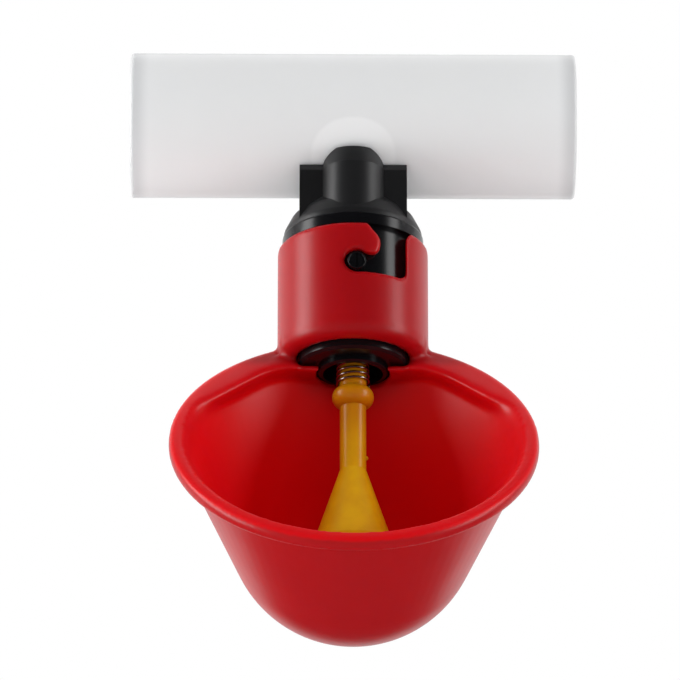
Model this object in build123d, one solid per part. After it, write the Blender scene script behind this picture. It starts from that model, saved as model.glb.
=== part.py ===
from build123d import *
from math import cos, radians, sin, sqrt, tan
import os

# Poultry nipple drinker that hangs under a water pipe.
# Origin: middle of the pipe fitting, on the pipe's axis. +X along the pipe, -Y to the bird, +Z up.

# Pipe fitting
tee_length = 97.6
tee_radius = 15.9
socket_radius = 12.6
socket_depth = 40.0
waterway_radius = 11.0
tee_end_round = 0.7
port_radius = 6.4
port_pad_radius = 9.0
port_pad_drop = 1.7

# Inlet head: spigot, saddle, wings, cone and skirt
spigot_radius = 5.9
spigot_reach = 8.2
head_bore_radius = 3.6
head_top_z = -10.9
wing_half_width = 11.7
wing_half_depth = 9.5
rib_radius = 6.85
rib_half_width = 6.75
rib_reach = 14.6
head_chamfer_height = 4.1
head_chamfer_depth = 1.5
cone_top_radius = 8.0
cone_top_z = -17.6
cone_knee_radius = 13.5
cone_knee_z = -23.4
cone_foot_radius = 15.1
cone_edge_z = -26.6
cone_round = 2.0
head_foot_z = -27.6
skirt_clearance = 0.2
skirt_length = 9.0
skirt_wall = 2.4
head_cap_thickness = 2.0

# Inlet strainer
strainer_thickness = 0.66
strainer_length = 4.9
strainer_hole_radius = 0.4
strainer_inner_ring = 1.2
strainer_outer_ring = 2.4

# Rubber rings
ring_section_radius = 0.9
ring_squeeze_gap = 0.05
ring_groove_spare = 0.12

# Valve housing with its flange and bayonet lugs
housing_radius = 14.1
housing_wall = 2.7
flange_overhang = 1.3
flange_foot_z = -30.3
flange_edge_round = 0.5
housing_shoulder_z = -54.0
housing_shoulder_slope = 45.0
housing_foot_z = -58.4
housing_foot_inset = 2.1
housing_foot_chamfer = 0.6
housing_floor_thickness = 8.4
lug_radius = 2.0
lug_proud = 0.3
lug_groove_width = 0.35
lug_groove_depth = 0.3

# Seat bush, seat seal and ball
bush_radius = 7.6
bush_drop = 1.2
bush_chamfer = 0.4
seat_bore_radius = 3.1
mouth_top_radius = 5.0
mouth_foot_radius = 6.5
mouth_depth = 6.0
seal_thickness = 1.4
seal_bore_radius = 3.4
seal_outer_radius = 7.0
ball_radius = 5.0
ball_gap = 0.2
ball_flat_share = 0.8

# Trigger
stem_radius = 1.6
post_radius = 2.95
post_top_z = -56.0
bead_radius = 4.55
bead_height = 4.6
bead_centre_z = -65.1
neck_radius = 2.85
neck_foot_z = -82.2
bell_angle = 18.6
bell_foot_z = -101.0
bell_skirt_height = 1.6
bell_edge_round = 0.7
bell_hollow_depth = 6.0
bell_wall = 1.4

# Trigger spring
spring_wire_radius = 0.26
spring_mean_radius = 3.4
spring_turns = 7.0
spring_end_gap = 0.3
spring_lift_share = 0.16

# Drinking cup: slanted bowl and collar
wall = 2.0
rim_radius = 39.5
rim_slope = 55.7
rim_centre_y = -20.0
rim_centre_z = -82.8
lip_overhang = 1.5
lip_height = 3.4
lip_round = 1.3
bowl_angle = 22.2
bowl_bottom_radius = 27.2
collar_wall = 2.1
collar_clearance = 0.2
collar_top_z = -30.5
collar_shoulder_z = -54.0
collar_foot_z = -60.0
collar_foot_radius = 13.4
shelf_thickness = 1.2
shelf_edge_y = -3.4
trigger_hole_radius = 8.0
opening_clearance = 0.4
collar_front_foot_z = -56.8
collar_front_round = 3.6
collar_edge_round = 0.5
hole_sink = 0.15

# Roof of the bowl beside the collar
roof_flat_half = 12.5
roof_knee_x = 21.0
roof_knee_z = -63.2
roof_hip_x = 30.5
roof_hip_z = -70.8

# Bayonet slot, seen from the front and cut straight through the wall
slot_floor_z = -42.1
seat_radius = 2.65
lug_floor_gap = 0.25
hook_gap = 0.2
slot_reach = 10.9
bayonet_turn = 2.4
slot_corner = 1.6
entry_flare = 1.1
entry_flare_height = 1.8
hook_length = 5.2
hook_tip_share = 0.46
hook_neck_share = 0.77
hook_neck_depth_share = 0.29
hook_bulge_share = 0.8
hook_waist_depth_share = 0.46
hook_waist_side_share = 0.98
hook_arc_angle = 35.0

saddle_clearance = 0.35
overrun = 1.0
half_turn = 180.0
quarter_turn = 90.0

lug_z = slot_floor_z + lug_floor_gap + lug_radius
pivot_z = housing_foot_z + housing_floor_thickness + seal_thickness + ball_gap + sqrt(
    ball_radius**2 - seal_bore_radius**2)
bush_foot_z = housing_foot_z - bush_drop
housing_bore_radius = housing_radius - housing_wall
housing_foot_radius = housing_radius - housing_foot_inset
housing_neck_z = housing_shoulder_z - housing_foot_inset * tan(radians(housing_shoulder_slope))
flange_radius = housing_radius + flange_overhang
skirt_radius = housing_bore_radius - skirt_clearance
skirt_bore_radius = skirt_radius - skirt_wall
collar_bore_radius = housing_radius + collar_clearance
collar_radius = collar_bore_radius + collar_wall
opening_radius = housing_foot_radius + opening_clearance


def upright(radius, low, high):
    """Cylinder on the Z axis between two heights."""
    return Pos(0, 0, (low + high) / 2) * Cylinder(radius, high - low)


def along_x(radius, low, high):
    """Cylinder on the X axis between two places."""
    return Pos((low + high) / 2, 0, 0) * Rot(0, quarter_turn, 0) * Cylinder(radius, high - low)


def turned(points):
    """Solid of revolution about Z of an outline given as radius and height pairs."""
    outline = Polyline(*[(r, 0, z) for r, z in points], close=True)
    return revolve(make_face(outline), axis=Axis.Z)


def ring_about_z(mean_radius, height):
    """Rubber ring of round section."""
    return Pos(0, 0, height) * Torus(mean_radius, ring_section_radius)


def save(shape, name, colour):
    shape.label = name
    shape.color = Color(*colour)
    export_step(shape, os.path.join("parts", name + ".step"))


# Pipe fitting

def make_tee():
    half = tee_length / 2
    body = along_x(tee_radius, -half, half)
    body = fillet(body.edges().filter_by(GeomType.CIRCLE), tee_end_round)
    pad_foot = -tee_radius - port_pad_drop
    body += upright(port_pad_radius, pad_foot, -waterway_radius)
    body -= along_x(waterway_radius, -half - overrun, half + overrun)
    body -= along_x(socket_radius, half - socket_depth, half + overrun)
    body -= along_x(socket_radius, -half - overrun, socket_depth - half)
    body -= upright(port_radius, pad_foot - overrun, 0)
    return body


# Inlet head

def grip_outline(inset):
    """Plan of the grip: two wings and the round rib at front and back, drawn in along Y by the inset."""
    plan = Rectangle(2 * wing_half_width, 2 * (wing_half_depth - inset))
    rib_centre = rib_reach - rib_radius - inset
    for side in (-1, 1):
        rib = Pos(0, side * rib_centre) * Circle(rib_radius)
        rib &= Rectangle(2 * rib_half_width, 2 * rib_reach)
        plan += rib
    return plan


def grip():
    shoulder = head_top_z - head_chamfer_height
    block = extrude(Pos(0, 0, head_foot_z) * grip_outline(0), shoulder - head_foot_z)
    wide = Pos(0, 0, shoulder) * grip_outline(0)
    narrow = Pos(0, 0, head_top_z) * grip_outline(head_chamfer_depth)
    return block + loft([wide.face(), narrow.face()], ruled=True)


def make_head():
    pad_foot = -tee_radius - port_pad_drop - saddle_clearance
    spigot_top = pad_foot + spigot_reach
    skirt_foot = head_foot_z - skirt_length
    head = grip()
    cone = turned([(0, head_foot_z), (cone_foot_radius, head_foot_z), (cone_foot_radius, cone_edge_z),
                   (cone_knee_radius, cone_knee_z), (cone_top_radius, cone_top_z), (0, cone_top_z)])
    head += fillet(cone.edges().filter_by(GeomType.CIRCLE).group_by(Axis.Z)[1:3], cone_round)
    head -= along_x(tee_radius + saddle_clearance, -tee_length / 2, tee_length / 2)
    head -= upright(port_pad_radius + saddle_clearance, pad_foot, 0)
    head += upright(spigot_radius, pad_foot, spigot_top)
    head += upright(skirt_radius, skirt_foot, head_foot_z)
    head -= upright(skirt_bore_radius, skirt_foot - overrun, head_foot_z - head_cap_thickness)
    head -= upright(head_bore_radius, skirt_foot, spigot_top + overrun)
    groove_half = ring_section_radius + ring_groove_spare
    for radius, bore, height in ((spigot_radius, port_radius, spigot_ring_z()),
                                 (skirt_radius, housing_bore_radius, head_ring_z())):
        root = bore - 2 * groove_half
        groove = upright(radius + overrun, height - groove_half, height + groove_half)
        head -= groove - upright(root, height - groove_half, height + groove_half)
    return head


def spigot_ring_z():
    return -(tee_radius + socket_radius) / 2 - port_pad_drop / 2


def head_ring_z():
    return head_foot_z - skirt_length / 2


def make_spigot_ring():
    return ring_about_z(port_radius - ring_squeeze_gap - ring_section_radius, spigot_ring_z())


def make_head_ring():
    return ring_about_z(housing_bore_radius - ring_squeeze_gap - ring_section_radius, head_ring_z())


def make_strainer():
    """Thimble with a flange on top of the spigot and rows of holes in its crown."""
    spigot_top = spigot_reach - tee_radius - port_pad_drop - saddle_clearance
    crown = spigot_top + strainer_thickness
    foot = spigot_top - strainer_length
    body = upright(spigot_radius - strainer_thickness, spigot_top, crown)
    body += upright(head_bore_radius, foot, spigot_top)
    body -= upright(head_bore_radius - strainer_thickness, foot - overrun, spigot_top)
    hole = upright(strainer_hole_radius, spigot_top - overrun, crown + overrun)
    body -= hole
    for count, spread in ((6, strainer_inner_ring), (10, strainer_outer_ring)):
        for place in PolarLocations(spread, count):
            body -= place * hole
    return body


# Valve housing

def make_housing():
    floor_top = housing_foot_z + housing_floor_thickness
    body = turned([(0, housing_foot_z), (housing_foot_radius - housing_foot_chamfer, housing_foot_z),
                   (housing_foot_radius, housing_foot_z + housing_foot_chamfer),
                   (housing_foot_radius, housing_neck_z),
                   (housing_radius, housing_shoulder_z), (housing_radius, flange_foot_z),
                   (flange_radius, flange_foot_z), (flange_radius, head_foot_z), (0, head_foot_z)])
    rim = body.edges().filter_by(GeomType.CIRCLE).group_by(Axis.Z)[-1]
    body = fillet(rim, flange_edge_round)
    lug_tip = collar_radius + lug_proud
    lug_middle = (lug_tip + housing_bore_radius) / 2
    pin = Rot(quarter_turn, 0, 0) * Cylinder(lug_radius, lug_tip - housing_bore_radius)
    groove = Box(lug_groove_width, 2 * lug_groove_depth, 2 * lug_radius + overrun)
    for side in (-1, 1):
        lug = Pos(0, side * lug_middle, lug_z) * pin - Pos(0, side * lug_tip, lug_z) * groove
        body += Rot(0, 0, bayonet_turn) * lug
    body -= upright(housing_bore_radius, floor_top, head_foot_z + overrun)
    body -= upright(bush_radius, housing_foot_z - overrun, floor_top + overrun)
    return body


def make_bush():
    floor_top = housing_foot_z + housing_floor_thickness
    mouth_top = bush_foot_z + mouth_depth
    bush = upright(bush_radius, bush_foot_z, floor_top)
    bush = chamfer(bush.edges().filter_by(GeomType.CIRCLE).group_by(Axis.Z)[0], bush_chamfer)
    bush -= upright(seat_bore_radius, bush_foot_z, floor_top + overrun)
    flare = (mouth_foot_radius - mouth_top_radius) / mouth_depth
    cut_radius = mouth_foot_radius + flare * overrun
    cut_foot = bush_foot_z - overrun
    bush -= turned([(0, mouth_top), (mouth_top_radius, mouth_top), (cut_radius, cut_foot), (0, cut_foot)])
    return bush


def make_seal():
    low = housing_foot_z + housing_floor_thickness
    return upright(seal_outer_radius, low, low + seal_thickness) - upright(
        seal_bore_radius, low - overrun, low + seal_thickness + overrun)


def make_ball():
    flat = pivot_z + ball_radius * ball_flat_share
    ball = Pos(0, 0, pivot_z) * Sphere(ball_radius)
    ball -= upright(ball_radius, flat, pivot_z + ball_radius + overrun)
    return ball - upright(stem_radius, pivot_z - ball_radius - overrun, pivot_z)


# Trigger

def make_trigger():
    bead_top = bead_centre_z + bead_height / 2
    bead_foot = bead_centre_z - bead_height / 2
    skirt_top = bell_foot_z + bell_skirt_height
    bell_radius = neck_radius + (neck_foot_z - skirt_top) * tan(radians(bell_angle))
    with BuildPart() as built:
        with BuildSketch(Plane.XZ):
            with BuildLine():
                Line((0, pivot_z), (stem_radius, pivot_z))
                Line((stem_radius, pivot_z), (stem_radius, post_top_z))
                Line((stem_radius, post_top_z), (post_radius, post_top_z))
                Line((post_radius, post_top_z), (post_radius, bead_top))
                ThreePointArc((post_radius, bead_top), (bead_radius, bead_centre_z),
                              (neck_radius, bead_foot))
                Line((neck_radius, bead_foot), (neck_radius, neck_foot_z))
                Line((neck_radius, neck_foot_z), (bell_radius, skirt_top))
                Line((bell_radius, skirt_top), (bell_radius, bell_foot_z))
                Line((bell_radius, bell_foot_z), (0, bell_foot_z))
                Line((0, bell_foot_z), (0, pivot_z))
            make_face()
        revolve(axis=Axis.Z)
    trigger = built.part
    trigger = fillet(trigger.edges().filter_by(GeomType.CIRCLE).group_by(Axis.Z)[0], bell_edge_round)
    hollow_radius = bell_radius - bell_wall
    hollow_top = bell_foot_z + bell_hollow_depth
    hollow_foot = bell_foot_z - overrun
    hollow_neck = hollow_radius - bell_hollow_depth * tan(radians(bell_angle))
    hollow = turned([(0, hollow_top), (hollow_neck, hollow_top), (hollow_radius, bell_foot_z),
                     (hollow_radius, hollow_foot), (0, hollow_foot)])
    return trigger - hollow


def make_spring():
    top = bush_foot_z + mouth_depth - spring_end_gap
    foot = bead_centre_z + bead_height / 2 * spring_seat_share() + spring_wire_radius
    height = top - spring_wire_radius - foot
    coil = Pos(0, 0, foot) * Helix(pitch=height / spring_turns, height=height, radius=spring_mean_radius)
    profile = Plane(origin=coil @ 0, z_dir=coil % 0) * Circle(spring_wire_radius)
    return sweep(profile, path=coil, is_frenet=True)


def spring_seat_share():
    """How high the bead's round shoulder is under the wire, as a share of its half height."""
    outer = spring_mean_radius + spring_wire_radius
    return sqrt(max(0.0, 1 - ((outer - post_radius) / (bead_radius - post_radius))**2)) + spring_lift_share


# Drinking cup

bowl_frame = Pos(0, rim_centre_y, rim_centre_z) * Rot(rim_slope, 0, 0)


def bowl_profile(rim, bottom_radius, centre_depth):
    """Bowl as a cone that runs into a round bottom, on the bowl's own axis with the mouth at zero."""
    touch_radius = bottom_radius * cos(radians(bowl_angle))
    touch_depth = centre_depth + bottom_radius * sin(radians(bowl_angle))
    half = radians((quarter_turn + bowl_angle) / 2)
    with BuildSketch(Plane.XZ) as sketch:
        with BuildLine():
            Line((0, 0), (rim, 0))
            Line((rim, 0), (touch_radius, -touch_depth))
            ThreePointArc((touch_radius, -touch_depth),
                          (bottom_radius * cos(half), -centre_depth - bottom_radius * sin(half)),
                          (0, -centre_depth - bottom_radius))
            Line((0, -centre_depth - bottom_radius), (0, 0))
        make_face()
    return revolve(sketch.sketch, axis=Axis.Z)


def bowl_solids():
    outer_rim = rim_radius - lip_overhang
    apex_depth = outer_rim / tan(radians(bowl_angle))
    centre_depth = apex_depth - bowl_bottom_radius / sin(radians(bowl_angle))
    outer = bowl_profile(outer_rim, bowl_bottom_radius, centre_depth)
    lip = Pos(0, 0, -lip_height / 2) * Cylinder(rim_radius, lip_height)
    lip = fillet(lip.edges().filter_by(GeomType.CIRCLE), lip_round)
    inner_rim = outer_rim - wall / cos(radians(bowl_angle))
    inner = bowl_profile(inner_rim, bowl_bottom_radius - wall, centre_depth)
    return outer, lip, inner


def under_roof(rise):
    """Everything under the roof of the bowl, which falls away beside the collar, lifted by the rise."""
    low = rim_centre_z - 2 * rim_radius
    with BuildSketch(Plane.XZ) as sketch:
        with BuildLine():
            Line((-roof_flat_half, collar_foot_z), (roof_flat_half, collar_foot_z))
            Spline((roof_flat_half, collar_foot_z), (roof_knee_x, roof_knee_z), (roof_hip_x, roof_hip_z),
                   (rim_radius, rim_centre_z), tangents=((1, 0), (0, -1)))
            Polyline((rim_radius, rim_centre_z), (rim_radius, low), (-rim_radius, low),
                     (-rim_radius, rim_centre_z))
            Spline((-rim_radius, rim_centre_z), (-roof_hip_x, roof_hip_z), (-roof_knee_x, roof_knee_z),
                   (-roof_flat_half, collar_foot_z), tangents=((0, 1), (1, 0)))
        make_face()
    return Pos(0, 0, rise) * extrude(sketch.sketch, 2 * rim_radius, both=True)


def behind_mouth():
    """Everything behind the plane of the cup's mouth."""
    reach = 2 * rim_radius
    return bowl_frame * Pos(0, 0, -reach) * Box(2 * reach, 2 * reach, 2 * reach)


def collar_solid():
    """Collar as a plug: round above, drawn in to the shelf behind the mouth and rounded off before it."""
    front = upright(collar_radius, collar_front_foot_z, collar_top_z)
    front = fillet(front.edges().filter_by(GeomType.CIRCLE).group_by(Axis.Z)[0], collar_front_round)
    back = turned([(0, collar_foot_z), (collar_foot_radius, collar_foot_z),
                   (collar_radius, collar_shoulder_z), (collar_radius, collar_top_z), (0, collar_top_z)])
    behind = behind_mouth()
    collar = (front - behind) + (back & behind)
    return fillet(collar.edges().group_by(Axis.Z)[-1], collar_edge_round)


def slot_cutter():
    lobe_z = lug_z + lug_radius + hook_gap
    seat_z = slot_floor_z + seat_radius
    top = collar_top_z + overrun
    hook_depth = collar_top_z - lobe_z
    neck_z = collar_top_z - hook_depth * hook_neck_depth_share
    waist_z = collar_top_z - hook_depth * hook_waist_depth_share
    bulge_x = hook_length * hook_bulge_share
    waist_x = hook_length * hook_waist_side_share
    neck_x = hook_length * hook_neck_share
    tip_x = hook_length * hook_tip_share
    seat_end_x = sqrt(seat_radius**2 - (lobe_z - seat_z)**2)
    arc = radians(hook_arc_angle)
    arc_point = (seat_radius * sin(arc), seat_z + seat_radius * cos(arc))
    entry_x = slot_reach + entry_flare
    corner_x = slot_reach - slot_corner
    flare_z = collar_top_z - entry_flare_height
    with BuildSketch(Plane.XZ) as sketch:
        with BuildLine():
            ThreePointArc((0, slot_floor_z), (-seat_radius, seat_z), (0, seat_z + seat_radius))
            ThreePointArc((0, seat_z + seat_radius), arc_point, (seat_end_x, lobe_z))
            Line((seat_end_x, lobe_z), (bulge_x, lobe_z))
            ThreePointArc((bulge_x, lobe_z), (hook_length, (lobe_z + waist_z) / 2), (waist_x, waist_z))
            Polyline((waist_x, waist_z), (neck_x, neck_z), (tip_x, collar_top_z), (tip_x, top),
                     (entry_x, top), (entry_x, collar_top_z), (slot_reach, flare_z),
                     (slot_reach, slot_floor_z + slot_corner))
            RadiusArc((slot_reach, slot_floor_z + slot_corner), (corner_x, slot_floor_z), slot_corner)
            Line((corner_x, slot_floor_z), (0, slot_floor_z))
        make_face()
    cutter = Pos(0, -housing_radius / 2, 0) * extrude(sketch.sketch, collar_radius, dir=(0, -1, 0))
    return Rot(0, 0, bayonet_turn) * cutter


def make_cup():
    outer, lip, inner = bowl_solids()
    shelf_top = collar_foot_z + shelf_thickness
    bore_foot = housing_shoulder_z - collar_clearance
    neck_z = housing_neck_z - collar_clearance
    cup = (bowl_frame * outer) & under_roof(wall)
    cup += bowl_frame * lip
    cup += collar_solid()
    cup -= (bowl_frame * inner) & under_roof(0)
    cup -= upright(collar_bore_radius, bore_foot, collar_top_z + overrun)
    cup -= turned([(0, shelf_top), (opening_radius, shelf_top), (opening_radius, neck_z),
                   (collar_bore_radius, bore_foot), (0, bore_foot)])
    cup -= upright(trigger_hole_radius, collar_foot_z - hole_sink, shelf_top + overrun)
    window = Pos(0, shelf_edge_y - collar_radius / 2, collar_foot_z) * Box(
        2 * collar_radius, collar_radius, 2 * shelf_thickness + 2 * overrun)
    cup -= upright(opening_radius, collar_foot_z - overrun, shelf_top + overrun) & window
    slot = slot_cutter()
    cup -= slot
    cup -= Rot(0, 0, half_turn) * slot
    return cup


black = (0.03, 0.03, 0.03)
rubber_grey = (0.08, 0.08, 0.09)
pieces = (
    ("pipe_tee", make_tee, (0.9, 0.9, 0.88)),
    ("inlet_head", make_head, black),
    ("spigot_ring", make_spigot_ring, rubber_grey),
    ("inlet_strainer", make_strainer, (0.85, 0.85, 0.8)),
    ("head_ring", make_head_ring, rubber_grey),
    ("valve_housing", make_housing, black),
    ("seat_bush", make_bush, black),
    ("seat_seal", make_seal, rubber_grey),
    ("valve_ball", make_ball, (0.9, 0.55, 0.05)),
    ("trigger", make_trigger, (0.9, 0.55, 0.05)),
    ("trigger_spring", make_spring, (0.6, 0.6, 0.62)),
    ("drinking_cup", make_cup, (0.75, 0.02, 0.05)),
)

os.makedirs("parts", exist_ok=True)
for name, make, colour in pieces:
    save(make(), name, colour)
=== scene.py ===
"""Poultry nipple drinker with its pipe fitting, dressed for a studio picture."""

import math

import bmesh
import bpy
from mathutils import Matrix, Vector


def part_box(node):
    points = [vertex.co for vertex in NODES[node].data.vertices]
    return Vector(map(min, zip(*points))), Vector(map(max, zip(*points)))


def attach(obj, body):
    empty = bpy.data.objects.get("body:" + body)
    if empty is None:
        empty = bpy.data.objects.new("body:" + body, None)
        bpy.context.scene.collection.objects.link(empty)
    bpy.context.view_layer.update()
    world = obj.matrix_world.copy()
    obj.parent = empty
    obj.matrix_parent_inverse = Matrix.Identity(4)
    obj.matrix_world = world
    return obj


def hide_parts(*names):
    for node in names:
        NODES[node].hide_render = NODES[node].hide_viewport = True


bl_info = {
    "name": "Poultry drinker",
    "version": (1, 0, 0),
    "blender": (4, 5, 0),
    "location": "3D View > Sidebar > Drinker",
    "description": "Dresses a hanging poultry drinker with its pipe fitting and slanted cup",
    "category": "Object",
}

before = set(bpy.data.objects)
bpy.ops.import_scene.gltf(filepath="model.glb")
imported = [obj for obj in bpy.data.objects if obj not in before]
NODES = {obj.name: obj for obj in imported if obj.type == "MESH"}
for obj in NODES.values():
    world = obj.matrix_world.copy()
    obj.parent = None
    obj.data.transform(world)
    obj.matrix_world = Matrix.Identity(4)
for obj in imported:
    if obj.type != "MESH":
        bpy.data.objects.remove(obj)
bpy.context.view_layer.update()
TEE_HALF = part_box("pipe_tee")[1][0]
MM = 0.001
MERGE_REACH = 0.001 * MM

# How deep red, green and blue light sink into each plastic
MILKY_DEPTH = (5.0 * MM, 5.0 * MM, 5.2 * MM)
AMBER_DEPTH = (3.0 * MM, 1.2 * MM, 0.1 * MM)
RED_DEPTH = (7.0 * MM, 0.2 * MM, 0.2 * MM)

# Skin of a moulded plastic
TONE_FADE = (0.3, 0.7)
NOISE_MIDDLE = 0.5
NOISE_ROUGHNESS = 0.55
RIPPLE_SCALE = 140.0
GRAIN_DEPTH = 0.04 * MM
RIPPLE_DEPTH = 0.4 * MM

# Ends of the smooth step over which a painted tint sets in or fades: paler light round the port, greyer
# shade at a slant, brighter light inside the bowl and out of its mouth
PORT_FADE = (0.90, 1.02)
EDGE_FADE = (0.72, 1.0)
HOLLOW_FADE = (-0.1, 0.5)
MOUTH_FADE = (0.3, 0.8)

# Places of the colour sockets on a Mix node
MIX_FIRST, MIX_SECOND, MIX_RESULT = 6, 7, 2

# Softening of the cup: how far one pass moves a corner, and the widths of the fold that it works through
SMOOTHING = 0.5
FOLD_WIDTHS = (1.0, 0.85, 0.7, 0.55)

# Studio, in metres: name, place, size, power and whether glossy surfaces mirror the lamp
LAMPS = (
    ("left_softbox", (-1.0, -0.16, -0.02), (0.42, 1.2), 11.0, True),
    ("right_softbox", (1.0, -0.36, -0.02), (0.32, 1.2), 6.5, True),
    ("upper_fill", (0.0, -1.10, 0.95), (0.9, 0.9), 5.0, False),
)
MIDDLE = Vector((0.0, -5.0 * MM, -55.0 * MM))
SKY_FADE = (-1.0, 0.2)
SKY_GLOSS_FADE = (0.0, 0.5)
FLOOR_ROUGHNESS = 0.9

# Camera: sensor in mm, then in pixels the picture's width and how far its centre is from the middle
SENSOR_WIDTH = 36.0
PICTURE_WIDTH = 680
AIM_RIGHT = 13.16
AIM_UP = 5.92
NEAREST = 0.01
FARTHEST = 50.0


# Kinds of settings

def colour(name, description, default):
    """Colour property."""
    return bpy.props.FloatVectorProperty(name=name, description=description, default=default, size=3,
                                         min=0.0, max=1.0, subtype="COLOR")


def length(name, description, default, top=1.0):
    """Property for a length or a place in metres."""
    return bpy.props.FloatProperty(name=name, description=description, default=default, min=-top, max=top,
                                   subtype="DISTANCE", unit="LENGTH", precision=5)


def angle(name, description, degrees):
    """Property for an angle, its default given in degrees."""
    return bpy.props.FloatProperty(name=name, description=description, default=math.radians(degrees),
                                   subtype="ANGLE", unit="ROTATION")


def share(name, description, default):
    """Property for a share from nothing to all."""
    return bpy.props.FloatProperty(name=name, description=description, default=default, min=0.0, max=1.0,
                                   subtype="FACTOR")


def strength(name, description, default):
    """Property for the strength of a light, from nothing upwards."""
    return bpy.props.FloatProperty(name=name, description=description, default=default, min=0.0)


def passes(name, description, default):
    """Property for a number of softening passes."""
    return bpy.props.IntProperty(name=name, description=description, default=default, min=0)


class FinishSettings(bpy.types.PropertyGroup):
    """Colours and finishes of the drinker's plastics, rubber and wire, with the painted light and shade on
    the fitting, the trigger and the cup.
    """

    milky: colour("Fitting", "Milky plastic of the pipe fitting", (0.79, 0.795, 0.80))
    milky_shade: colour("Fitting shade", "Thicker parts of the milky plastic", (0.77, 0.78, 0.785))
    # Painted shade: greyer tint where the fitting is seen at a slant
    milky_slant_shade: colour("Fitting edge", "Greyer milky plastic seen at a slant", (0.60, 0.61, 0.62))
    # Painted shade: greyer tint at the fitting's open ends
    milky_end_shade: colour("Fitting end", "Greyer milky plastic at the open ends", (0.50, 0.505, 0.51))
    # Painted light: paler tint round the port, standing in for the light on a boss there
    port_painted_light: colour("Fitting port", "Paler milky plastic round the port", (0.88, 0.885, 0.89))
    matte_black: colour("Head", "Fine matte black of the inlet head", (0.010, 0.010, 0.011))
    gloss_black: colour("Housing", "Glossy black of the valve housing", (0.004, 0.004, 0.005))
    rubber: colour("Rubber", "Rubber of the rings and the seal", (0.016, 0.016, 0.017))
    strainer: colour("Strainer", "Plain white of the inlet strainer", (0.72, 0.71, 0.66))
    amber: colour("Trigger", "Waxy amber of the trigger's thin bell", (0.90, 0.52, 0.003))
    # Deeper amber: the skin's random tone, and painted shade from the bell's foot up to the post and bead
    amber_tone_and_shade: colour("Trigger shade", "Deeper amber of the trigger's post and bead", (0.56, 0.20, 0.001))
    steel: colour("Spring", "Bright drawn wire of the spring", (0.36, 0.35, 0.34))
    red: colour("Cup", "Satin red of the drinking cup", (0.36, 0.0012, 0.004))
    red_deep: colour("Cup shade", "Deeper red of the thick parts of the cup", (0.32, 0.0010, 0.004))
    # Painted light: brighter red on the faces inside the bowl, for light shining through the wall
    red_painted_light: colour("Cup inside", "Brighter red inside the bowl", (0.56, 0.0012, 0.005))

    milky_roughness: share("Fitting roughness", "How dull the milky plastic is", 0.36)
    matte_roughness: share("Head roughness", "How dull the inlet head is", 0.42)
    gloss_roughness: share("Housing roughness", "How dull the valve housing is", 0.22)
    rubber_roughness: share("Rubber roughness", "How dull the rubber is", 0.6)
    strainer_roughness: share("Strainer roughness", "How dull the strainer is", 0.45)
    amber_roughness: share("Trigger roughness", "How dull the amber plastic is", 0.30)
    steel_roughness: share("Spring roughness", "How dull the wire is", 0.24)
    red_roughness: share("Cup roughness", "How dull the red plastic is", 0.34)

    milky_glow: share("Fitting glow", "How much light sinks into the milky plastic", 0.7)
    amber_glow: share("Trigger glow", "How much light sinks into the amber plastic", 0.3)
    red_glow: share("Cup glow", "How much light sinks into the red plastic", 0.7)

    # Painted shade at a slant: how strong it is
    slant_shade_share: share("Edge share", "How much of the fitting's edge is greyer", 0.8)
    # Painted shade at the open ends: how strong it is and how far in it reaches
    end_shade_share: share("End share", "How grey the fitting is at its open ends", 0.85)
    end_reach: length("End reach", "How far in from its ends the fitting is greyer", 4.5 * MM)
    # Painted light round the port: its strength, then the place and size of its dome
    port_share: share("Port share", "How pale the fitting is round its port", 0.6)
    port_drop: length("Port drop", "How far the paler dome lies under the pipe's axis", 12.2 * MM)
    port_half_width: length("Port half width", "Half the width of the paler dome", 9.6 * MM)
    port_half_height: length("Port half height", "Half the height of the paler dome", 7.6 * MM)

    # Painted shade on the trigger: from brightest at the bell's foot to deep above the bell's top
    bell_foot: length("Bell foot", "Height at which the bell is at its brightest", -86.0 * MM)
    bell_top: length("Bell top", "Height above which the amber is deep", -66.0 * MM)
    # Where the painted light inside the bowl lies and where it fades out
    hollow_y: length("Hollow forward", "How far forward the middle of the bowl's hollow is", -14.0 * MM)
    hollow_z: length("Hollow height", "Height of the middle of the bowl's hollow", -90.0 * MM)
    inside_top: length("Inside top", "Height above which the cup has its outer red", -57.0 * MM)
    inside_fade: length("Inside fade", "Height over which the brighter red sets in", 3.0 * MM)


class ShapeSettings(bpy.types.PropertyGroup):
    """Sizes of the small moulded details and of the cup's soft edges."""

    lug_radius: length("Lug radius", "Radius of a bayonet lug", 2.0 * MM)
    lug_rim: length("Lug rim", "Radius of the rounded rim of a lug", 0.2 * MM)
    lug_reach: length("Lug reach", "From the valve's axis to the end of a lug", 16.7 * MM)
    lug_height: length("Lug height", "Height of the lugs", -39.85 * MM)
    lug_turn: angle("Lug turn", "Turn of the lugs about the valve's axis", 2.4)
    nub_radius: length("Nub radius", "Radius of the moulding nub on the trigger's neck", 0.5 * MM)
    nub_reach: length("Nub reach", "From the trigger's axis to the middle of the nub", 2.8 * MM)
    nub_height: length("Nub height", "Height of the moulding nub", -79.3 * MM)
    cup_face: length("Cup faces", "Size of the small even faces of the cup", 0.5 * MM)
    edge_passes: passes("Edge softening", "Passes that round every edge of the cup", 3)
    fold_passes: passes("Fold softening", "Passes that round the fold of the mouth", 12)
    fold_depth: length("Fold depth", "How far the fold reaches either side of the mouth's plane", 5.0 * MM)
    fold_reach: length("Fold reach", "How far the fold reaches from the middle of the mouth", 36.6 * MM)
    mouth_slope: angle("Mouth slope", "Slant of the cup's mouth", 55.7)
    mouth_y: length("Mouth forward", "How far forward the middle of the mouth lies", -20.0 * MM)
    mouth_z: length("Mouth height", "Height of the middle of the mouth", -82.8 * MM)
    hole_guard: length("Hole guard", "Reach about the valve's axis that keeps its edges", 13.0 * MM)


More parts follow.
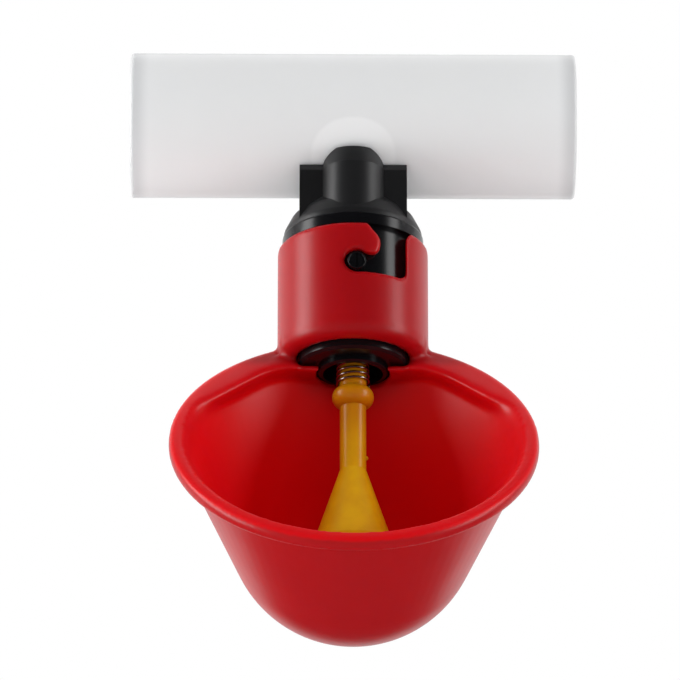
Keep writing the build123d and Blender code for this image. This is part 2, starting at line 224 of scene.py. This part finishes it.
class StageSettings(bpy.types.PropertyGroup):
    """Floor, lights and camera of the studio."""

    floor_drop: length("Floor drop", "How far the floor lies under the pipe's axis", 0.72, 5.0)
    floor_reach: length("Floor reach", "Half the width of the floor", 4.0, 20.0)
    floor_pale: colour("Floor", "Pale paint of the floor", (0.82, 0.82, 0.82))
    floor_mirrored: colour("Mirrored floor", "Floor as glossy surfaces see it", (0.06, 0.06, 0.06))
    camera_distance: length("Camera distance", "From the drinker to the camera", 1.5, 10.0)
    camera_azimuth: angle("Camera azimuth", "Turn of the camera about the valve's axis", -0.637)
    camera_elevation: angle("Camera elevation", "Below the level where negative", -23.715)
    camera_lens: bpy.props.FloatProperty(name="Camera lens", description="Focal length on a 36 mm sensor",
                                         default=366.9, min=1.0, unit="CAMERA")
    sky_light: strength("Sky light", "Even light on matt surfaces from behind", 0.95)
    sky_front: strength("Front light", "Even light on matt surfaces from the front", 0.14)
    sky_gloss: strength("Sky gloss", "Light that glossy surfaces see in front", 0.02)
    light_power: strength("Light power", "Scales every lamp of the studio", 1.0)


# Shader helpers

def feed(tree, socket, value):
    """Links a socket to another, or gives it a plain value."""
    if isinstance(value, bpy.types.NodeSocket):
        tree.links.new(value, socket)
    else:
        socket.default_value = value


def noise(tree, vector, scale, detail):
    """Noise texture on a vector."""
    texture = tree.nodes.new("ShaderNodeTexNoise")
    texture.inputs["Roughness"].default_value = NOISE_ROUGHNESS
    feed(tree, texture.inputs["Vector"], vector)
    feed(tree, texture.inputs["Scale"], scale)
    feed(tree, texture.inputs["Detail"], detail)
    return texture.outputs["Fac"]


def maths(tree, operation, *values, clamp=False):
    """Math node on sockets or numbers."""
    step = tree.nodes.new("ShaderNodeMath")
    step.operation = operation
    step.use_clamp = clamp
    for socket, value in zip(step.inputs, values):
        feed(tree, socket, value)
    return step.outputs[0]


def vector_maths(tree, operation, *values):
    """Vector math node on sockets or vectors."""
    step = tree.nodes.new("ShaderNodeVectorMath")
    step.operation = operation
    for socket, value in zip(step.inputs, values):
        feed(tree, socket, value)
    return step.outputs


def remap(tree, value, low, high, to_low=0.0, to_high=1.0):
    """Smooth step of a value from one range to another."""
    step = tree.nodes.new("ShaderNodeMapRange")
    step.interpolation_type = "SMOOTHSTEP"
    for name, number in (("Value", value), ("From Min", low), ("From Max", high), ("To Min", to_low),
                         ("To Max", to_high)):
        feed(tree, step.inputs[name], number)
    return step.outputs["Result"]


def blend_colours(tree, factor, first, second):
    """Mix of two colours by a factor."""
    mix = tree.nodes.new("ShaderNodeMix")
    mix.data_type = "RGBA"
    feed(tree, mix.inputs["Factor"], factor)
    feed(tree, mix.inputs[MIX_FIRST], first)
    feed(tree, mix.inputs[MIX_SECOND], second)
    return mix.outputs[MIX_RESULT]


def bump(tree, height, amount, depth, below=None):
    """Bump of a height, laid over the bump below it."""
    step = tree.nodes.new("ShaderNodeBump")
    step.inputs["Distance"].default_value = depth
    feed(tree, step.inputs["Height"], height)
    feed(tree, step.inputs["Strength"], amount)
    if below is not None:
        feed(tree, step.inputs["Normal"], below)
    return step.outputs["Normal"]


def moulded_skin():
    """Shared skin of a moulded plastic: slow shifts of tone and gloss, a fine grain and soft sink marks."""
    name = "moulded_skin"
    if name in bpy.data.node_groups:
        return bpy.data.node_groups[name]
    group = bpy.data.node_groups.new(name, "ShaderNodeTree")
    for socket, kind, default in (
        ("Vector", "NodeSocketVector", (0.0, 0.0, 0.0)),
        ("Colour", "NodeSocketColor", (0.8, 0.8, 0.8, 1.0)),
        ("Shade", "NodeSocketColor", (0.6, 0.6, 0.6, 1.0)),
        ("Tone Scale", "NodeSocketFloat", 60.0),
        ("Tone Spread", "NodeSocketFloat", 0.4),
        ("Roughness", "NodeSocketFloat", 0.3),
        ("Roughness Spread", "NodeSocketFloat", 0.06),
        ("Grain Scale", "NodeSocketFloat", 3500.0),
        ("Grain", "NodeSocketFloat", 0.1),
        ("Ripple", "NodeSocketFloat", 0.1),
    ):
        item = group.interface.new_socket(name=socket, in_out="INPUT", socket_type=kind)
        item.default_value = default
    for socket, kind in (("Colour", "NodeSocketColor"), ("Roughness", "NodeSocketFloat"),
                         ("Normal", "NodeSocketVector")):
        group.interface.new_socket(name=socket, in_out="OUTPUT", socket_type=kind)
    pull = group.nodes.new("NodeGroupInput").outputs
    out = group.nodes.new("NodeGroupOutput").inputs
    slow = noise(group, pull["Vector"], pull["Tone Scale"], detail=3.0)
    tone = maths(group, "MULTIPLY", remap(group, slow, *TONE_FADE), pull["Tone Spread"], clamp=True)
    feed(group, out["Colour"], blend_colours(group, tone, pull["Colour"], pull["Shade"]))
    shift = maths(group, "MULTIPLY", maths(group, "SUBTRACT", slow, NOISE_MIDDLE), pull["Roughness Spread"])
    feed(group, out["Roughness"], maths(group, "ADD", pull["Roughness"], shift, clamp=True))
    grain = noise(group, pull["Vector"], pull["Grain Scale"], detail=2.0)
    ripple = noise(group, pull["Vector"], RIPPLE_SCALE, detail=1.0)
    fine = bump(group, grain, pull["Grain"], GRAIN_DEPTH)
    feed(group, out["Normal"], bump(group, ripple, pull["Ripple"], RIPPLE_DEPTH, fine))
    return group


def principled(material):
    """Shader of a material."""
    return material.node_tree.nodes["Principled BSDF"]


def moulded(name, base, shade, roughness, grain=0.1, ripple=0.1, tone=0.4, tone_scale=60.0,
            grain_scale=3500.0, spread=0.06, specular=0.5):
    """Material of a moulded plastic."""
    material = bpy.data.materials.new(name)
    material.use_nodes = True
    tree = material.node_tree
    shader = principled(material)
    place = tree.nodes.new("ShaderNodeTexCoord")
    skin = tree.nodes.new("ShaderNodeGroup")
    skin.node_tree = moulded_skin()
    for socket, value in (("Vector", place.outputs["Object"]), ("Colour", (*base, 1.0)),
                          ("Shade", (*shade, 1.0)), ("Tone Scale", tone_scale), ("Tone Spread", tone),
                          ("Roughness", roughness), ("Roughness Spread", spread),
                          ("Grain Scale", grain_scale), ("Grain", grain), ("Ripple", ripple)):
        feed(tree, skin.inputs[socket], value)
    feed(tree, shader.inputs["Base Color"], skin.outputs["Colour"])
    feed(tree, shader.inputs["Roughness"], skin.outputs["Roughness"])
    feed(tree, shader.inputs["Normal"], skin.outputs["Normal"])
    shader.inputs["Specular IOR Level"].default_value = specular
    return material


def darker(tint, part):
    """Tint brought down to a part of its brightness."""
    return tuple(channel * part for channel in tint)


def translucent(material, weight, depth):
    """Lets light sink into a material."""
    shader = principled(material)
    shader.inputs["Subsurface Weight"].default_value = weight
    shader.inputs["Subsurface Radius"].default_value = depth
    shader.inputs["Subsurface Scale"].default_value = 1.0


def object_axes(tree):
    """Object coordinates, split into their X, Y and Z sockets."""
    place = tree.nodes.new("ShaderNodeTexCoord")
    split = tree.nodes.new("ShaderNodeSeparateXYZ")
    feed(tree, split.inputs[0], place.outputs["Object"])
    return split.outputs


def recolour(material, factor, tint):
    """Lays a tint over a skin's colour where the factor says."""
    tree = material.node_tree
    base = principled(material).inputs["Base Color"]
    feed(tree, base, blend_colours(tree, factor, base.links[0].from_socket, (*tint, 1.0)))


# Piece helpers

def dress(node, material):
    """Gives a CAD node its material."""
    data = NODES[node].data
    data.materials.clear()
    data.materials.append(material)
    for polygon in data.polygons:
        polygon.material_index = 0


def merged_copy(node):
    """Copy of a CAD node's mesh as a bmesh with its loose corners joined."""
    shape = bmesh.new()
    shape.from_mesh(NODES[node].data)
    bmesh.ops.remove_doubles(shape, verts=shape.verts, dist=MERGE_REACH)
    return shape


def smooth(shape, verts):
    """One softening pass over some of a bmesh's corners."""
    bmesh.ops.smooth_vert(shape, verts=verts, factor=SMOOTHING, use_axis_x=True, use_axis_y=True,
                          use_axis_z=True)


def made_piece(shape, name, material, body):
    """Closes a bmesh as a smooth piece that rides on a body and takes its finish from a material slot."""
    bmesh.ops.recalc_face_normals(shape, faces=shape.faces)
    for face in shape.faces:
        face.smooth = True
    mesh = bpy.data.meshes.new(name)
    shape.to_mesh(mesh)
    shape.free()
    mesh.materials.append(material)
    piece = bpy.data.objects.new(name, mesh)
    bpy.context.scene.collection.objects.link(piece)
    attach(piece, body)
    return piece


# Pieces

class DRINKER_OT_pipe_fitting(bpy.types.Operator):
    """Milky pipe fitting that the drinker hangs from."""

    bl_idname = "drinker.pipe_fitting"
    bl_label = "Pipe fitting"

    def execute(self, context):
        finish = context.scene.drinker_finish
        milky = moulded("milky_plastic", finish.milky, finish.milky_shade, finish.milky_roughness,
                        grain=0.12, ripple=0.12, tone=0.25, tone_scale=45.0)
        translucent(milky, finish.milky_glow, MILKY_DEPTH)
        tree = milky.node_tree
        axes = object_axes(tree)
        # Painted light: paler dome round the head's port
        recolour(milky, self.port_light_dome(tree, axes, finish), finish.port_painted_light)
        # Painted shade: greyer where the fitting is seen at a slant
        slant = tree.nodes.new("ShaderNodeLayerWeight").outputs["Facing"]
        recolour(milky, remap(tree, slant, *EDGE_FADE, to_high=finish.slant_shade_share), finish.milky_slant_shade)
        # Painted shade: greyer towards the open ends, holding down the glow there
        out = maths(tree, "ABSOLUTE", axes["X"])
        end = remap(tree, out, TEE_HALF - finish.end_reach, TEE_HALF, to_high=finish.end_shade_share)
        recolour(milky, end, finish.milky_end_shade)
        dress("pipe_tee", milky)
        return {"FINISHED"}

    def port_light_dome(self, tree, axes, finish):
        """Dome of painted light, paler on the fitting where the head's port meets it."""
        across = maths(tree, "DIVIDE", axes["X"], finish.port_half_width)
        drop = maths(tree, "ADD", axes["Z"], finish.port_drop)
        down = maths(tree, "DIVIDE", drop, finish.port_half_height)
        squares = [maths(tree, "MULTIPLY", way, way) for way in (across, down)]
        spread = maths(tree, "SQRT", maths(tree, "ADD", *squares))
        return remap(tree, spread, *PORT_FADE, to_low=finish.port_share, to_high=0.0)


class DRINKER_OT_inlet_head(bpy.types.Operator):
    """Matte black head with its saddle, wings and cone, its rings and the strainer."""

    bl_idname = "drinker.inlet_head"
    bl_label = "Inlet head"

    def execute(self, context):
        finish = context.scene.drinker_finish
        matte = moulded("matte_black", finish.matte_black, darker(finish.matte_black, 0.6),
                        finish.matte_roughness, grain=0.35, ripple=0.06, grain_scale=5200.0)
        rubber = moulded("rubber_black", finish.rubber, darker(finish.rubber, 0.7), finish.rubber_roughness,
                         grain=0.3, ripple=0.2)
        white = moulded("white_plastic", finish.strainer, darker(finish.strainer, 0.9),
                        finish.strainer_roughness, grain=0.12)
        dress("inlet_head", matte)
        dress("spigot_ring", rubber)
        dress("head_ring", rubber)
        dress("inlet_strainer", white)
        return {"FINISHED"}


class DRINKER_OT_valve_body(bpy.types.Operator):
    """Glossy black housing with its lugs, the bush and the rubber seal."""

    bl_idname = "drinker.valve_body"
    bl_label = "Valve body"

    def execute(self, context):
        finish = context.scene.drinker_finish
        gloss = moulded("gloss_black", finish.gloss_black, darker(finish.gloss_black, 0.5),
                        finish.gloss_roughness, grain=0.03, ripple=0.08, spread=0.05, specular=0.3)
        dress("valve_housing", gloss)
        dress("seat_bush", gloss)
        dress("seat_seal", bpy.data.materials["rubber_black"])
        self.lug_rims(context.scene.drinker_shape, gloss)
        return {"FINISHED"}

    def lug_rims(self, sizes, material):
        """Rounded rim on the outer end of each bayonet lug."""
        middle = (0.0, 0.0, 0.0)
        shape = bmesh.new()
        bmesh.ops.create_circle(shape, segments=12, radius=sizes.lug_rim)
        bmesh.ops.translate(shape, verts=shape.verts, vec=(sizes.lug_radius - sizes.lug_rim, 0.0, 0.0))
        bmesh.ops.spin(shape, geom=shape.verts[:] + shape.edges[:], cent=middle, axis=(0.0, 1.0, 0.0),
                       angle=2 * math.pi, steps=48, use_merge=True)
        bmesh.ops.translate(shape, verts=shape.verts, vec=(0.0, -sizes.lug_reach, sizes.lug_height))
        bmesh.ops.rotate(shape, verts=shape.verts, cent=middle,
                         matrix=Matrix.Rotation(sizes.lug_turn, 3, "Z"))
        first = shape.verts[:] + shape.edges[:] + shape.faces[:]
        twin = bmesh.ops.duplicate(shape, geom=first)["geom"]
        bmesh.ops.rotate(shape, verts=[part for part in twin if isinstance(part, bmesh.types.BMVert)],
                         cent=middle, matrix=Matrix.Rotation(math.pi, 3, "Z"))
        made_piece(shape, "lug_rims", material, "valve_body")


class DRINKER_OT_trigger(bpy.types.Operator):
    """Amber trigger with its moulding nub, its ball and the wire spring."""

    bl_idname = "drinker.trigger"
    bl_label = "Trigger and spring"

    def execute(self, context):
        finish = context.scene.drinker_finish
        amber = moulded("amber_plastic", finish.amber, finish.amber_tone_and_shade, finish.amber_roughness,
                        grain=0.05, ripple=0.25, tone=0.3, tone_scale=160.0, specular=0.3)
        translucent(amber, finish.amber_glow, AMBER_DEPTH)
        # Painted shade: darker amber from the bell's foot up to the post, which sits in the housing's shade
        height = object_axes(amber.node_tree)["Z"]
        painted_top_shade = remap(amber.node_tree, height, finish.bell_foot, finish.bell_top)
        recolour(amber, painted_top_shade, finish.amber_tone_and_shade)
        dress("trigger", amber)
        dress("valve_ball", amber)
        self.coil(finish)
        self.gate_nub(context.scene.drinker_shape, amber)
        return {"FINISHED"}

    def coil(self, finish):
        """Wire spring that leans with the trigger."""
        steel = moulded("spring_steel", finish.steel, darker(finish.steel, 0.75), finish.steel_roughness,
                        grain=0.1, ripple=0.05, grain_scale=9000.0)
        principled(steel).inputs["Metallic"].default_value = 1.0
        piece = made_piece(merged_copy("trigger_spring"), "coil", steel, "trigger")
        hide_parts("trigger_spring")

    def gate_nub(self, sizes, material):
        """Small nub left by the mould on the side of the trigger's neck."""
        shape = bmesh.new()
        bmesh.ops.create_icosphere(shape, subdivisions=3, radius=sizes.nub_radius)
        bmesh.ops.translate(shape, verts=shape.verts, vec=(sizes.nub_reach, 0.0, sizes.nub_height))
        made_piece(shape, "gate_nub", material, "trigger")


class DRINKER_OT_drinking_cup(bpy.types.Operator):
    """Red cup with its slanted bowl and the bayonet collar."""

    bl_idname = "drinker.drinking_cup"
    bl_label = "Drinking cup"

    def execute(self, context):
        finish = context.scene.drinker_finish
        sizes = context.scene.drinker_shape
        mouth = Vector((0.0, -math.sin(sizes.mouth_slope), math.cos(sizes.mouth_slope)))
        red = moulded("red_plastic", finish.red, finish.red_deep, finish.red_roughness, grain=0.08,
                      ripple=0.1, tone=0.35, tone_scale=35.0, specular=0.34)
        translucent(red, finish.red_glow, RED_DEPTH)
        # Painted light: brighter red inside the bowl and out of its mouth
        recolour(red, self.inside(red.node_tree, mouth, finish), finish.red_painted_light)
        shape = self.even_copy("drinking_cup", sizes.cup_face)
        self.soften(shape, mouth, sizes)
        piece = made_piece(shape, "rounded_cup", red, "cup")
        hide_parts("drinking_cup")
        return {"FINISHED"}

    def inside(self, tree, mouth, finish):
        """Faces that look at the bowl's hollow or out of its mouth: painted light, a brighter red for the
        light that shines through the wall.
        """
        place = tree.nodes.new("ShaderNodeTexCoord").outputs
        hollow = (0.0, finish.hollow_y, finish.hollow_z)
        toward = vector_maths(tree, "SUBTRACT", hollow, place["Object"])[0]
        unit = vector_maths(tree, "NORMALIZE", toward)[0]
        facing = vector_maths(tree, "DOT_PRODUCT", place["Normal"], unit)["Value"]
        outward = vector_maths(tree, "DOT_PRODUCT", place["Normal"], mouth)["Value"]
        lit = maths(tree, "MAXIMUM", remap(tree, facing, *HOLLOW_FADE), remap(tree, outward, *MOUTH_FADE))
        height = object_axes(tree)["Z"]
        below = remap(tree, height, finish.inside_top - finish.inside_fade, finish.inside_top, 1.0, 0.0)
        return maths(tree, "MULTIPLY", lit, below)

    def even_copy(self, node, face_size):
        """Copy of a CAD node as a bmesh of small even faces."""
        shape = merged_copy(node)
        mesh = bpy.data.meshes.new("rough_cup")
        shape.to_mesh(mesh)
        shape.free()
        holder = bpy.data.objects.new("rough_cup", mesh)
        bpy.context.scene.collection.objects.link(holder)
        remesh = holder.modifiers.new("even_faces", "REMESH")
        remesh.mode = "VOXEL"
        remesh.voxel_size = face_size
        depsgraph = bpy.context.evaluated_depsgraph_get()
        even = bpy.data.meshes.new_from_object(holder.evaluated_get(depsgraph))
        shape = bmesh.new()
        shape.from_mesh(even)
        bpy.data.objects.remove(holder)
        bpy.data.meshes.remove(mesh)
        bpy.data.meshes.remove(even)
        return shape

    def soften(self, shape, mouth, sizes):
        """Rounds all edges a little, and the fold round the cup's mouth a lot."""
        for turn in range(sizes.edge_passes):
            smooth(shape, shape.verts)
        centre = Vector((0.0, sizes.mouth_y, sizes.mouth_z))
        near = []
        for vert in shape.verts:
            arm = vert.co - centre
            depth = arm.dot(mouth)
            reach = (arm - mouth * depth).length
            if reach < sizes.fold_reach and vert.co.to_2d().length > sizes.hole_guard:
                near.append((abs(depth), vert))
        for width in FOLD_WIDTHS:
            fold = [vert for depth, vert in near if depth < width * sizes.fold_depth]
            for turn in range(sizes.fold_passes):
                smooth(shape, fold)


# Stage

class DRINKER_OT_stage(bpy.types.Operator):
    """Pale floor, white surroundings, soft lamps and the camera."""

    bl_idname = "drinker.stage"
    bl_label = "Stage"

    def execute(self, context):
        scene = context.scene
        stage = scene.drinker_stage
        self.floor(scene, stage)
        self.surroundings(scene, stage)
        for lamp in LAMPS:
            self.lamp(scene, stage.light_power, *lamp)
        self.camera(scene, stage)
        return {"FINISHED"}

    def floor(self, scene, stage):
        """Pale matt floor that glossy surfaces hardly mirror."""
        mesh = bpy.data.meshes.new("floor")
        shape = bmesh.new()
        bmesh.ops.create_grid(shape, x_segments=1, y_segments=1, size=stage.floor_reach)
        bmesh.ops.translate(shape, verts=shape.verts, vec=(0.0, 0.0, -stage.floor_drop))
        shape.to_mesh(mesh)
        shape.free()
        floor = bpy.data.objects.new("floor", mesh)
        scene.collection.objects.link(floor)
        paint = bpy.data.materials.new("floor_paint")
        paint.use_nodes = True
        tree = paint.node_tree
        surface = principled(paint)
        mirrored = tree.nodes.new("ShaderNodeLightPath").outputs["Is Glossy Ray"]
        shade = blend_colours(tree, mirrored, (*stage.floor_pale, 1.0), (*stage.floor_mirrored, 1.0))
        feed(tree, surface.inputs["Base Color"], shade)
        surface.inputs["Roughness"].default_value = FLOOR_ROUGHNESS
        mesh.materials.append(paint)

    def surroundings(self, scene, stage):
        """White to the camera, even to matt surfaces, and bright only behind the drinker to glossy ones."""
        world = bpy.data.worlds.new("studio")
        world.use_nodes = True
        tree = world.node_tree
        sky = tree.nodes["Background"]
        sky.inputs["Color"].default_value = (1.0, 1.0, 1.0, 1.0)
        path = tree.nodes.new("ShaderNodeLightPath").outputs
        way = tree.nodes.new("ShaderNodeTexCoord").outputs["Generated"]
        split = tree.nodes.new("ShaderNodeSeparateXYZ")
        feed(tree, split.inputs[0], way)
        back = split.outputs["Y"]
        even = remap(tree, back, *SKY_FADE, stage.sky_front, stage.sky_light)
        gloss = remap(tree, back, *SKY_GLOSS_FADE, stage.sky_gloss, 1.0)
        light = remap(tree, path["Is Glossy Ray"], 0.0, 1.0, even, gloss)
        seen = remap(tree, path["Is Camera Ray"], 0.0, 1.0, light, 1.0)
        feed(tree, sky.inputs["Strength"], seen)
        scene.world = world
        scene.view_settings.view_transform = "Standard"

    def lamp(self, scene, scale, name, place, size, power, mirrored):
        """Rectangular soft lamp that faces the drinker."""
        data = bpy.data.lights.new(name, "AREA")
        data.shape = "RECTANGLE"
        data.size, data.size_y = size
        data.energy = power * scale
        light = bpy.data.objects.new(name, data)
        light.location = place
        light.rotation_euler = (MIDDLE - Vector(place)).to_track_quat("-Z", "Y").to_euler()
        light.visible_glossy = mirrored
        scene.collection.objects.link(light)

    def camera(self, scene, stage):
        """Camera that looks up at the drinker, a little aside of its middle."""
        data = bpy.data.cameras.new("camera")
        data.lens = stage.camera_lens
        data.sensor_width = SENSOR_WIDTH
        data.clip_start = NEAREST
        data.clip_end = FARTHEST
        turn, lift = stage.camera_azimuth, stage.camera_elevation
        back = Vector((math.sin(turn) * math.cos(lift), -math.cos(turn) * math.cos(lift), math.sin(lift)))
        right = Vector((math.cos(turn), math.sin(turn), 0.0))
        up = back.cross(right)
        pixel = stage.camera_distance * SENSOR_WIDTH / (stage.camera_lens * PICTURE_WIDTH)
        target = MIDDLE - right * AIM_RIGHT * pixel + up * AIM_UP * pixel
        place = MIDDLE + back * stage.camera_distance
        camera = bpy.data.objects.new("camera", data)
        camera.location = place
        camera.rotation_euler = (target - place).to_track_quat("-Z", "Y").to_euler()
        scene.collection.objects.link(camera)
        scene.camera = camera


class DRINKER_PT_panel(bpy.types.Panel):
    """Lists the pieces of the drinker and their settings."""

    bl_label = "Drinker"
    bl_idname = "DRINKER_PT_panel"
    bl_space_type = "VIEW_3D"
    bl_region_type = "UI"
    bl_category = "Drinker"

    def draw(self, context):
        layout = self.layout
        scene = context.scene
        for operator in OPERATORS:
            layout.operator(operator.bl_idname)
        for settings in (scene.drinker_finish, scene.drinker_shape, scene.drinker_stage):
            box = layout.box()
            for name in settings.bl_rna.properties.keys():
                if name not in ("rna_type", "name"):
                    box.prop(settings, name)


OPERATORS = (
    DRINKER_OT_pipe_fitting,
    DRINKER_OT_inlet_head,
    DRINKER_OT_valve_body,
    DRINKER_OT_trigger,
    DRINKER_OT_drinking_cup,
    DRINKER_OT_stage,
)
CLASSES = (FinishSettings, ShapeSettings, StageSettings) + OPERATORS + (DRINKER_PT_panel,)


def register():
    for item in CLASSES:
        bpy.utils.register_class(item)
    bpy.types.Scene.drinker_finish = bpy.props.PointerProperty(type=FinishSettings)
    bpy.types.Scene.drinker_shape = bpy.props.PointerProperty(type=ShapeSettings)
    bpy.types.Scene.drinker_stage = bpy.props.PointerProperty(type=StageSettings)


def unregister():
    del bpy.types.Scene.drinker_stage
    del bpy.types.Scene.drinker_shape
    del bpy.types.Scene.drinker_finish
    for item in reversed(CLASSES):
        bpy.utils.unregister_class(item)


def main():
    register()
    for operator in OPERATORS:
        group, name = operator.bl_idname.split(".")
        getattr(getattr(bpy.ops, group), name)()


if __name__ == "__main__":
    main()
